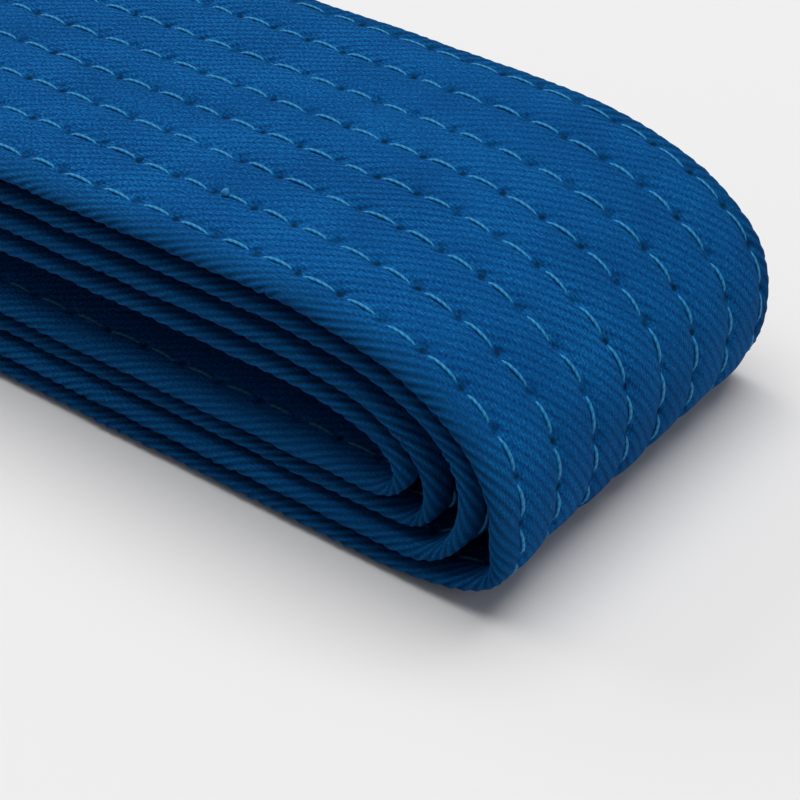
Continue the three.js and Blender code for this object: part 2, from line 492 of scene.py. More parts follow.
def twill_weave_group() -> bpy.types.NodeTree:
    """A 3/1 twill: each warp yarn floats over three picks and under one.

    Returns:
        A group that takes the cloth's own coordinates and gives the height
        of the yarns and a tone that differs from float to float.
    """
    takes = {"Along": 0.0, "Around": 0.0, "Pick": 0.36 * MM, "Yarn": 0.25 * MM, "Unevenness": 0.5}
    group, n, given = new_group("twill_weave", takes, ["Height", "Tone"])
    place = n.pair(given["Along"], given["Around"])
    wander = n.math("SUBTRACT", n.noise(place, 420.0), 0.5)
    wander = n.math("MULTIPLY", wander, given["Unevenness"])
    x = n.math("ADD", n.math("DIVIDE", given["Along"], given["Pick"]), wander)
    y = n.math("DIVIDE", given["Around"], given["Yarn"])
    y = n.math("ADD", y, n.math("MULTIPLY", wander, 1.7))
    yarn = n.math("FLOOR", y)
    off = n.math("MULTIPLY_ADD", n.math("FRACT", y), 2.0, -1.0)
    round_top = n.math("SUBTRACT", 1.0, n.math("POWER", n.math("ABSOLUTE", off), 2.0))
    floats = n.math("DIVIDE", n.math("SUBTRACT", x, yarn), 4.0)
    phase = n.math("ABSOLUTE", n.math("SUBTRACT", n.math("FRACT", floats), 0.42))
    hump = n.math("SUBTRACT", 1.0, n.math("POWER", n.math("MULTIPLY", phase, 2.2), 3.0), clamp=True)
    warp = n.math("MULTIPLY", round_top, hump)
    height = n.math("MULTIPLY_ADD", hump, 0.45, n.math("MULTIPLY", warp, 0.55))
    chance = n.add(
        "ShaderNodeTexWhiteNoise",
        {"Vector": n.pair(n.math("FLOOR", floats), yarn)},
        noise_dimensions="2D",
    )
    fibres = n.noise(n.pair(x, n.math("MULTIPLY", y, 2.5)), 1.6, 4.0)
    tone = n.math("MULTIPLY_ADD", fibres, 0.7, n.math("MULTIPLY", chance.outputs["Value"], 0.3))
    n.add("NodeGroupOutput", {"Height": height, "Tone": tone})
    return group


def edge_ribs_group() -> bpy.types.NodeTree:
    """The slanted ribs where the cloth turns round the strap's long edges.

    Returns:
        A group that takes the cloth's coordinates and gives a height and how
        much of the edge a place is.
    """
    takes = {"Along": 0.0, "Around": 0.0, "Wale along": WALES.along, "Wale around": WALES.around}
    takes |= {"Edge": 20.54 * MM, "Reach": 4 * MM}
    group, n, given = new_group("edge_ribs", takes, ["Height", "Mask"])
    off = n.math("ABSOLUTE", n.math("SUBTRACT", n.math("ABSOLUTE", given["Around"]), given["Edge"]))
    mask = n.math("SUBTRACT", 1.0, n.step(off, 0.0, given["Reach"]))
    turn = n.math(
        "SUBTRACT",
        n.math("DIVIDE", given["Along"], given["Wale along"]),
        n.math("DIVIDE", given["Around"], given["Wale around"]),
    )
    slow = n.math("MULTIPLY", given["Along"], WALES.slow_along)
    slow = n.math("MULTIPLY_ADD", given["Around"], WALES.slow_around, slow)
    quick = n.math("MULTIPLY_ADD", given["Along"], WALES.quick_along, WALES.quick_phase)
    turn = n.math("MULTIPLY_ADD", n.math("SINE", slow), WALES.slow_sway, turn)
    turn = n.math("MULTIPLY_ADD", n.math("SINE", quick), WALES.quick_sway, turn)
    wave = n.math("SINE", n.math("MULTIPLY", turn, math.tau))
    height = n.math("MULTIPLY", n.math("MULTIPLY_ADD", wave, 0.5, 0.5), mask)
    n.add("NodeGroupOutput", {"Height": height, "Mask": mask})
    return group


@dataclass(frozen=True)
class TwillFinish:
    """Dyed cotton twill, matt, with the yarns showing, and with painted shade in the weave's valleys,
    between the edge ribs, in the needle holes and on the strap's rounded edges.
    """

    name: str = "blue_twill"
    shadow: Colour = (0.0010, 0.036, 0.135, 1)
    middle: Colour = (0.0018, 0.066, 0.225, 1)
    light: Colour = (0.0055, 0.130, 0.370, 1)
    # Painted shade, for the needle holes and the valleys between the edge ribs.
    hole: Colour = (0.0008, 0.016, 0.035, 1)
    # Painted shade: the strap's rounded edges are darkened towards this colour.
    edge: Colour = (0.0012, 0.048, 0.150, 1)
    roughness: float = 0.9
    specular: float = 0.04
    weave_depth: float = 0.03 * MM
    rib_depth: float = 0.08 * MM
    hole_depth: float = 0.25 * MM
    fold_from: float = 118 * MM
    fold_full: float = 150 * MM
    # How much the nested fold deepens the painted shade in the weave's valleys, which darkens the fold.
    fold_weave_shade: float = 0.65
    fold_calm: float = 1.2
    patch_scale: float = 120.0
    patch_contrast: float = 0.7
    fuzz_scale: float = 4200.0
    fuzz_contrast: float = 2.9
    wear_scale: float = 55.0
    yarn_contrast: float = 0.3
    # How far the rounded edges are painted towards the edge colour, as painted shade.
    edge_share: float = 0.5
    # How dark the valleys between the edge ribs are painted, as painted shade.
    valley_shade_share: float = 0.5
    # How dark the needle holes are painted, as painted shade.
    hole_shade_share: float = 0.9
    hole_rim: tuple[float, float] = (0.035, 0.11)
    hole_scale: float = 180.0
    dent_reach: float = 0.2

    def _tone(self, n: Nodes, fuzz: Fed, weave: Fed, folded: Fed, wear_and_weave_shade: Fed) -> Fed:
        """How light the cloth is, about 0. The weave's lower parts are painted darker as shade, more
        where the yarns are bare and on the nested fold.

        Args:
            n: The material's nodes.
            fuzz: The fine speckle of the fibres.
            weave: The outputs of the weave.
            folded: How much of the nested fold a place is.
            wear_and_weave_shade: How bare of fibres the yarns are, raised on the nested fold; it sets how
                strongly the weave's valleys are painted dark as shade.

        Returns:
            The tone.
        """
        # Painted shade: the lower parts of the weave are darkened, scaled by the wear and the nested
        # fold.
        tone = n.math("SUBTRACT", weave["Height"], 0.6)
        tone = n.math("MULTIPLY", tone, n.math("MULTIPLY_ADD", wear_and_weave_shade, 0.6, 0.1))
        speckle = n.math("MULTIPLY_ADD", folded, -self.fold_calm, self.fuzz_contrast)
        patches = n.noise(n.cloth(), self.patch_scale, 4.0)
        parts = ((fuzz, speckle), (patches, self.patch_contrast), (weave["Tone"], self.yarn_contrast))
        for part, contrast in parts:
            tone = n.math("MULTIPLY_ADD", n.math("SUBTRACT", part, 0.5), contrast, tone)
        return tone

    @staticmethod
    def _hole_reach(n: Nodes) -> Fed:
        """How far a place is from the nearest needle hole, in stitches."""
        sewing = n.add("ShaderNodeUVMap", uv_map="sewing").outputs["UV"]
        sewn = n.add("ShaderNodeSeparateXYZ", {0: sewing}).outputs
        to_hole = n.math("POWER", n.math("PINGPONG", sewn["X"], 0.5), 2.0)
        beside = n.math("POWER", n.math("ABSOLUTE", sewn["Y"]), 2.0)
        return n.math("SQRT", n.math("ADD", to_hole, beside))

    def build(self) -> bpy.types.Material:
        """Make the material and return it."""
        material, n, shader = new_material(self.name, self.roughness, self.specular)
        uv = n.cloth()
        split = n.add("ShaderNodeSeparateXYZ", {0: uv}).outputs
        given = {"Along": split["X"], "Around": split["Y"]}
        weave = n.add("ShaderNodeGroup", given, node_tree=twill_weave_group()).outputs
        ribs = n.add("ShaderNodeGroup", given, node_tree=edge_ribs_group()).outputs
        fuzz = n.noise(uv, self.fuzz_scale)
        place = n.add("ShaderNodeTexCoord").outputs["Object"]
        outward = n.add("ShaderNodeSeparateXYZ", {0: place}).outputs["X"]
        folded = n.step(outward, self.fold_from, self.fold_full)
        wear_and_weave_shade = n.step(n.noise(uv, self.wear_scale), 0.36, 0.6)
        # The nested fold gets deeper painted shade in the weave's valleys.
        wear_and_weave_shade = n.math("MAXIMUM", wear_and_weave_shade, n.math("MULTIPLY", folded, self.fold_weave_shade))
        tone = self._tone(n, fuzz, weave, folded, wear_and_weave_shade)
        colour = n.blend(n.step(tone, -0.5, 0.0), self.shadow, self.middle)
        colour = n.blend(n.step(tone, 0.0, 0.55), colour, self.light)
        # Painted shade: the cloth round the strap's long edges is darkened.
        colour = n.blend(n.math("MULTIPLY", ribs["Mask"], self.edge_share), colour, self.edge)
        # Painted shade in the valleys between the edge ribs.
        rib_valley_shade = n.math("SUBTRACT", ribs["Mask"], ribs["Height"])
        colour = n.blend(n.math("MULTIPLY", rib_valley_shade, self.valley_shade_share), colour, self.hole)
        reach = self._hole_reach(n)
        # Painted shade in the needle holes, patchy along the rows.
        hole_shade_mask = n.math("SUBTRACT", 1.0, n.step(reach, *self.hole_rim))
        hole_shade_mask = n.math("MULTIPLY", hole_shade_mask, n.step(n.noise(uv, self.hole_scale), 0.3, 0.6))
        colour = n.blend(n.math("MULTIPLY", hole_shade_mask, self.hole_shade_share), colour, self.hole)
        n.feed(shader["Base Color"], colour)
        sunk = n.math("SUBTRACT", n.step(reach, 0.0, self.dent_reach), 1.0)
        plain = n.math("MULTIPLY_ADD", wear_and_weave_shade, 0.8, 0.2)
        yarns = n.math("MULTIPLY_ADD", weave["Height"], plain, fuzz)
        normal = n.bump(ribs["Height"], self.rib_depth)
        normal = n.bump(sunk, self.hole_depth, under=normal)
        n.feed(shader["Normal"], n.bump(yarns, self.weave_depth, under=normal))
        return material


@dataclass(frozen=True)
class ThreadFinish:
    """Spun sewing thread, a little glossier than the cloth."""

    name: str = "blue_thread"
    dark: Colour = (0.006, 0.15, 0.36, 1)
    light: Colour = (0.014, 0.24, 0.49, 1)
    roughness: float = 0.5
    specular: float = 0.25
    twist: float = 0.6 * MM
    patch_scale: float = 60.0
    patch_contrast: float = 0.9
    patch_least: float = 0.45
    strand_depth: float = 0.04 * MM
    strand_strength: float = 0.6

    def build(self) -> bpy.types.Material:
        """Make the material and return it."""
        material, n, shader = new_material(self.name, self.roughness, self.specular)
        uv = n.cloth()
        split = n.add("ShaderNodeSeparateXYZ", {0: uv})
        lay = n.math("DIVIDE", split.outputs["X"], self.twist)
        lay = n.math("FRACT", n.math("ADD", lay, split.outputs["Y"]))
        strand = n.math("SINE", n.math("MULTIPLY", lay, math.pi))
        patches = n.noise(uv, self.patch_scale, 3.0)
        patches = n.math("MULTIPLY_ADD", patches, self.patch_contrast, self.patch_least)
        lit = n.step(n.math("MULTIPLY", strand, patches), 0.1, 0.9)
        n.feed(shader["Base Color"], n.blend(lit, self.dark, self.light))
        n.feed(shader["Normal"], n.bump(strand, self.strand_depth, self.strand_strength))
        return material


# A darker copy of the thread for the inner face, whose rows lie in the gaps between the turns: painted
# shade.
SHADED_BOBBIN_THREAD = ThreadFinish(
    name="shaded_blue_thread",
    dark=(0.003, 0.060, 0.130, 1),
    light=(0.006, 0.105, 0.200, 1),
)


@dataclass(frozen=True)
class CottonFinish:
    """Undyed cotton of the core plies."""

    name: str = "core_cotton"
    dark: Colour = (0.62, 0.57, 0.47, 1)
    light: Colour = (0.80, 0.76, 0.66, 1)
    roughness: float = 0.95
    fibre_scale: float = 900.0
    fibre_depth: float = 0.1 * MM
    fibre_strength: float = 0.5

    def build(self) -> bpy.types.Material:
        """Make the material and return it."""
        material, n, shader = new_material(self.name, self.roughness)
        fibres = n.noise(n.cloth(), self.fibre_scale, 3.0)
        n.feed(shader["Base Color"], n.blend(fibres, self.dark, self.light))
        n.feed(shader["Normal"], n.bump(fibres, self.fibre_depth, self.fibre_strength))
        return material


# ---------------------------------------------------------------- stitching


@dataclass(frozen=True)
class StitchPlan:
    """Where the rows of lockstitch lie and where their needle holes are.

    A row starts a share of a stitch late, and is shifted across in millimetres.
    """

    rows: int = 8
    width: float = 40 * MM
    margin: float = 3 * MM
    pitch: float = 4.0 * MM
    inset: float = 7 * MM
    row_starts: tuple[float, ...] = (0.60, 0.51, 0.12, 0.64, 0.88, 0.70, 0.62, 0.03)
    row_shifts: tuple[float, ...] = (0.0, 0.1, 0.2, 0.1, 0.1, 0.2, 0.7, 1.2)

    def row_y(self, row: int) -> float:
        """Place of a row across the belt."""
        return -self.width / 2 + self.margin + row * self.spacing + self.row_shifts[row] * MM

    @property
    def spacing(self) -> float:
        """Between neighbouring rows."""
        return (self.width - 2 * self.margin) / (self.rows - 1)

    def nearest(self, y: np.ndarray) -> tuple[np.ndarray, np.ndarray, np.ndarray]:
        """The row nearest to each place.

        Args:
            y: Places across the belt.

        Returns:
            How far each is beside its row, the first hole of that row, and
            the row's number.
        """
        rows = np.array([self.row_y(r) for r in range(self.rows)])
        row = np.abs(y[:, None] - rows).argmin(axis=1)
        holes = np.array([self.first_hole(r) for r in range(self.rows)])
        return y - rows[row], holes[row], row

    def first_hole(self, row: int) -> float:
        """Length along the belt of a row's first needle hole."""
        return self.inset + self.row_starts[row] * self.pitch

    def count(self, row: int, length: float) -> int:
        """Number of stitches in a row."""
        return int((length - self.inset - self.first_hole(row)) / self.pitch)


# ---------------------------------------------------------------- pieces


def add_object(name: str, data: bpy.types.ID) -> bpy.types.Object:
    """Put a mesh, a light or a camera into the scene."""
    made = bpy.data.objects.new(name, data)
    bpy.context.scene.collection.objects.link(made)
    return made


def finish_piece(
    name: str,
    bm: bmesh.types.BMesh,
    material: bpy.types.Material,
    nodes: list[str],
) -> bpy.types.Object:
    """Make a finished bmesh an object of the belt.

    Args:
        name: The piece's name.
        bm: Its mesh, in place. It is freed.
        material: Its material.
        nodes: The solid model's pieces that it stands for.

    Returns:
        The object.
    """
    mesh = bpy.data.meshes.new(name)
    bm.to_mesh(mesh)
    bm.free()
    mesh.materials.append(material)
    mesh.polygons.foreach_set("use_smooth", np.ones(len(mesh.polygons), bool))
    piece = add_object(name, mesh)
    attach(piece, BODY)
    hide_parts(*nodes)
    triangles = sum(len(p.vertices) - 2 for p in mesh.polygons)
    LOG.info("%s: %d triangles", name, triangles)
    return piece


def flat_places(bm: bmesh.types.BMesh) -> np.ndarray:
    """The vertex places of a bmesh, one a row."""
    return np.array([v.co[:] for v in bm.verts])


def move_vertices(bm: bmesh.types.BMesh, places: np.ndarray) -> None:
    """Put each vertex of a bmesh where the rows of places say."""
    for vertex, place in zip(bm.verts, places):
        vertex.co = place


def spaced_by_bend(
    path: WindingPath, turn: float, widest: float, closest: float, reach: int = 0, spare: int = 0
) -> np.ndarray:
    """Lengths of lines across the strap, close together where it bends.

    Args:
        path: The path.
        turn: How far the path turns between two lines, in radians.
        widest: Longest way between them.
        closest: Shortest way between them.
        reach: How many of the path's steps around a bend it is felt.
        spare: Lines more than that needs.

    Returns:
        The lengths, from one free end to the other.
    """
    s = path.table["s"]
    density = np.clip(np.abs(path.table["bend"]) / turn, 1 / widest, 1 / closest)
    near = [slice(max(i - reach, 0), i + max(reach, 1)) for i in range(len(s))]
    wide = np.array([density[part].max() for part in near])
    walk = np.r_[0, np.cumsum(0.5 * (wide[1:] + wide[:-1]) * np.diff(s))]
    return np.interp(np.linspace(0, walk[-1], int(walk[-1]) + spare), walk, s)


@dataclass
class Tube:
    """A closed flat tube of cloth round the strap, in its own coordinates.

    Around the tube, t is 0 at the middle of the outer face and runs towards
    +Y, over the rounded edge and back along the inner face.
    """

    width: float
    thickness: float
    offset: float = 0.0

    @property
    def flat_half(self) -> float:
        """Half of the flat part of a face."""
        return (self.width - self.thickness) / 2

    @property
    def half_round(self) -> float:
        """Half of the tube's girth: from the outer middle to the inner one."""
        return 2 * self.flat_half + math.pi * self.thickness / 2

    def section(self, t: np.ndarray) -> tuple[np.ndarray, ...]:
        """Where a place around the tube lies in its section.

        Args:
            t: Places around the tube.

        Returns:
            y and h of the place, and y and h of the outward normal there.
        """
        side, run = np.sign(t), np.abs(t)
        radius = self.thickness / 2
        angle = np.clip((run - self.flat_half) / radius, 0, math.pi)
        back = np.maximum(run - self.flat_half - math.pi * radius, 0)
        y = np.minimum(run, self.flat_half) + radius * np.sin(angle) - back
        normal_h = np.cos(angle)
        return side * y, self.offset + radius * normal_h, side * np.sin(angle), normal_h

    def grid(self, stations: np.ndarray, columns: np.ndarray) -> bmesh.types.BMesh:
        """The tube slit open and laid flat as a grid of cloth.

        Args:
            stations: Lengths of the grid's lines across.
            columns: Places around of the grid's lines along.

        Returns:
            A bmesh whose vertices are at (s, t, 0).
        """
        bm = bmesh.new()
        bmesh.ops.create_grid(
            bm, x_segments=len(stations) - 1, y_segments=len(columns) - 1, size=0.5
        )
        places = flat_places(bm) + 0.5
        s = np.interp(places[:, 0] * (len(stations) - 1), np.arange(len(stations)), stations)
        t = np.interp(places[:, 1] * (len(columns) - 1), np.arange(len(columns)), columns)
        move_vertices(bm, np.column_stack([s, t, np.zeros(len(s))]))
        return bm

    def lay_uv(self, bm: bmesh.types.BMesh) -> None:
        """Keep the flat places as the cloth's UV map, in metres."""
        layer = bm.loops.layers.uv.new("cloth")
        for face in bm.faces:
            for loop in face.loops:
                loop[layer].uv = loop.vert.co.xy

    def lay_sewing_uv(self, bm: bmesh.types.BMesh, plan: StitchPlan) -> None:
        """Keep where the needle holes are, as a second UV map.

        U counts the nearest row's stitches, with a hole at each whole number,
        and V is the distance from the row in pitches.

        Args:
            bm: The flat cloth.
            plan: The rows.
        """
        layer = bm.loops.layers.uv.new("sewing")
        middles = np.array([f.calc_center_median()[:2] for f in bm.faces])
        y, _, _, _ = self.section(middles[:, 1])
        _, holes, rows = plan.nearest(y)
        lines = np.array([plan.row_y(r) for r in range(plan.rows)])[rows]
        places = flat_places(bm)
        across, _, _, _ = self.section(places[:, 1])
        bm.verts.index_update()
        for face, hole, line in zip(bm.faces, holes, lines):
            for loop in face.loops:
                vertex = loop.vert
                along = (vertex.co.x - hole) / plan.pitch
                loop[layer].uv = (along, (across[vertex.index] - line) / plan.pitch)

    def close(self, bm: bmesh.types.BMesh) -> None:
        """Weld the slit and fill the two ends, once the tube is wound."""
        rim = [v for v in bm.verts if v.is_boundary]
        bmesh.ops.remove_doubles(bm, verts=rim, dist=0.002 * MM)
        open_edges = [e for e in bm.edges if e.is_boundary]
        bmesh.ops.holes_fill(bm, edges=open_edges, sides=0)


@dataclass
class QuiltedCover:
    """The twill cover, pulled in along the rows of stitches."""

    path: WindingPath
    plan: StitchPlan
    width: float = 40 * MM
    furrow: float = 0.30 * MM
    furrow_half: float = 0.52 * MM
    hole_depth: float = 0.18 * MM
    hole_half: float = 0.42 * MM
    rib_depth: float = 0.12 * MM
    rib_reach: float = 3.9 * MM
    pillow: float = 0.05 * MM
    pillow_waves: int = 14
    wrinkle: float = 0.10 * MM
    wrinkle_pitch: float = 1.7 * MM
    wrinkle_sway: float = 0.3 * MM
    end_round: float = 0.9 * MM
    face_past: float = 84 * MM
    edge_past: float = 98 * MM
    face_edge: float = 0.62 * MM
    fine_edge: float = 0.36 * MM
    rim: float = 4.5 * MM
    seed: int = 7

    def __post_init__(self) -> None:
        """Set out the tube."""
        self.tube = Tube(self.width, self.path.thickness)

    def _stations(self) -> np.ndarray:
        """Lines across the cloth: close in the folds, far apart between."""
        stations = spaced_by_bend(self.path, 0.10, 9 * MM, 1.2 * MM, reach=12, spare=1)
        length, bare = self.path.length, 4 * MM
        ends = np.array([0.15, 0.4, 0.9, 2.0]) * MM
        inner = stations[(stations > bare) & (stations < length - bare)]
        return np.unique(np.r_[0, ends, inner, length - ends, length])

    def _columns(self) -> np.ndarray:
        """Lines along the cloth: close beside the rows and round the edges."""
        half, flat = self.tube.half_round, self.tube.flat_half
        rows = np.array([self.plan.row_y(r) for r in range(self.plan.rows)])
        beside = np.array([-0.9, -0.35, 0.35, 0.9]) * MM
        outer = (rows[:, None] + beside).ravel()
        turn = flat + np.linspace(0, 1, 6) * (half - 2 * flat)
        inner = half - np.abs(outer[outer > 0])
        across = np.r_[outer, turn, -turn, inner, -inner, half, -half, 0.0]
        return np.unique(np.round(across, 7))

    @staticmethod
    def _cut(
        bm: bmesh.types.BMesh,
        part: tuple[float, float, float, float],
        longest: float,
        along: bool,
    ) -> None:
        """Cut the cloth's edges in one direction, within a part of it.

        Args:
            bm: The flat cloth.
            part: The part's start and end along the belt and around the tube.
            longest: Longest edge that is left there.
            along: Whether the edges along the belt are cut, or those around.
        """
        s0, s1, t0, t1 = part
        groups: dict[int, list[bmesh.types.BMEdge]] = {}
        for edge in bm.edges:
            a, b = edge.verts[0].co, edge.verts[1].co
            run, rise = abs(a.x - b.x), abs(a.y - b.y)
            if (run > rise) is not along:
                continue
            inside = min(a.x, b.x) > s0 and max(a.x, b.x) < s1
            if inside and min(a.y, b.y) > t0 and max(a.y, b.y) < t1:
                cuts = math.ceil(max(run, rise) / longest) - 1
                if cuts > 0:
                    groups.setdefault(cuts, []).append(edge)
        for cuts, edges in sorted(groups.items()):
            bmesh.ops.subdivide_edges(bm, edges=edges, cuts=cuts, use_grid_fill=True)

    def _refine(
        self,
        bm: bmesh.types.BMesh,
        part: tuple[float, float, float, float],
        along: float,
        around: float,
    ) -> None:
        """Cut the cloth finer within a part of it.

        Args:
            bm: The flat cloth.
            part: The part's start and end along the belt and around the tube.
            along: Longest edge along the belt that is left there.
            around: Longest edge around the tube that is left there.
        """
        self._cut(bm, part, along, True)
        self._cut(bm, part, around, False)

    def _relief(self, s: np.ndarray, t: np.ndarray, y: np.ndarray, h: np.ndarray) -> np.ndarray:
        """How far the cloth stands proud of the plain tube.

        Args:
            s: Lengths along the belt.
            t: Places around the tube.
            y: Places across the belt.
            h: Heights off its middle.

        Returns:
            The distance along the outward normal.
        """
        plan = self.plan
        off, starts, _ = plan.nearest(y)
        on_face = np.abs(h) > 0.45 * self.path.thickness
        sewn = on_face & (s > plan.inset) & (s < self.path.length - plan.inset)
        along = (s - starts) / plan.pitch
        hole_off = (along - np.round(along)) * plan.pitch
        furrow = np.exp(-0.5 * (off / self.furrow_half) ** 2)
        hole = np.exp(-0.5 * (off**2 + hole_off**2) / self.hole_half**2)
        relief = -(self.furrow * furrow + self.hole_depth * hole) * sewn
        rng = np.random.default_rng(self.seed)
        for _ in range(self.pillow_waves):
            ks, ky = rng.uniform(250, 1500), rng.uniform(-900, 900)
            phase = rng.uniform(0, math.tau)
            wave = np.sin(ks * s + ky * y + phase + 2.0 * np.sign(h))
            relief += self.pillow * 0.25 * wave * (1 - 0.7 * furrow)
        edge = self.tube.flat_half + math.pi * self.path.thickness / 4
        mask = np.clip(1 - np.abs(np.abs(t) - edge) / self.rib_reach, 0, 1) ** 1.5
        ribs = WALES.strength(s) * np.sin(math.tau * WALES.turn(s, t))
        relief += self.rib_depth * mask * ribs * self._shown(s)
        bend = self.path.at("bend", s)
        pinched = np.clip(-bend * self.path.thickness * 1.2, 0, 1) * (h < 0)
        swayed = s + self.wrinkle_sway * np.sin(900 * y)
        crease = np.sin(math.tau * swayed / self.wrinkle_pitch)
        relief += self.wrinkle * pinched * (crease - 0.5)
        return relief

    def _shown(self, s: np.ndarray) -> np.ndarray:
        """1 where the cloth is cut fine enough for ribs, 0 elsewhere."""
        return np.clip((self.path.at("x", s) - self.edge_past - 9 * MM) / (4 * MM), 0, 1)

    def build(self, finish: bpy.types.Material, nodes: list[str]) -> bpy.types.Object:
        """Shape the cover and wind it.

        Args:
            finish: Its material.
            nodes: The solid model's pieces that it stands for.

        Returns:
            The cover.
        """
        bm = self.tube.grid(self._stations(), self._columns())
        tube, plan = self.tube, self.plan
        near_row = tube.half_round - abs(plan.row_y(0))
        face = -near_row, near_row
        s0, s1 = self.path.spans_beyond(self.face_past)[-1]
        self._refine(bm, (s0, s1, *face), self.face_edge, self.fine_edge)
        edge = (-tube.half_round - self.rim) / 2, (-tube.half_round + self.rim) / 2
        for s0, s1 in self.path.spans_beyond(self.edge_past):
            self._refine(bm, (s0, s1, *edge), self.fine_edge, self.fine_edge)
        tube.lay_uv(bm)
        tube.lay_sewing_uv(bm, plan)
        flat = flat_places(bm)
        s, t = flat[:, 0], flat[:, 1]
        y, h, normal_y, normal_h = tube.section(t)
        relief = self._relief(s, t, y, h)
        left = np.clip(np.minimum(s, self.path.length - s) / self.end_round, 0, 1)
        pinch = np.sqrt(1 - (1 - left) ** 2) * 0.85 + 0.15
        y, h = y + normal_y * relief, (h + normal_h * relief) * pinch
        move_vertices(bm, self.path.place(s, y, h))
        tube.close(bm)
        return finish_piece("quilted_cover", bm, finish, nodes)


@dataclass
class CorePly:
    """One of the two cotton plies that fill the cover."""

    path: WindingPath
    face: Face
    width: float = 38.3 * MM
    thickness: float = 0.30 * MM
    middle: float = 0.17 * MM
    end_gap: float = 1.2 * MM

    def build(self, finish: bpy.types.Material) -> bpy.types.Object:
        """Shape the ply and wind it.

        Args:
            finish: Its material.

        Returns:
            The ply.
        """
        tube = Tube(self.width, self.thickness, self.face.value * self.middle)
        stations = spaced_by_bend(self.path, 0.08, 8 * MM, 0.5 * MM)
        stations = np.clip(stations, self.end_gap, self.path.length - self.end_gap)
        half, flat = tube.half_round, tube.flat_half
        turn = np.linspace(flat, half - flat, 4)
        outer, inner = np.linspace(-flat, flat, 17), half - np.linspace(0, flat, 9)
        columns = np.unique(np.round(np.r_[outer, turn, -turn, inner, -inner], 7))
        bm = tube.grid(np.unique(stations), columns)
        tube.lay_uv(bm)
        places = flat_places(bm)
        y, h, _, _ = tube.section(places[:, 1])
        move_vertices(bm, self.path.place(places[:, 0], y, h))
        tube.close(bm)
        side = self.face.name.lower()
        piece = finish_piece(f"core_{side}", bm, finish, [f"core_ply_{side}"])
        flat = (self.width, self.path.length)
        return piece


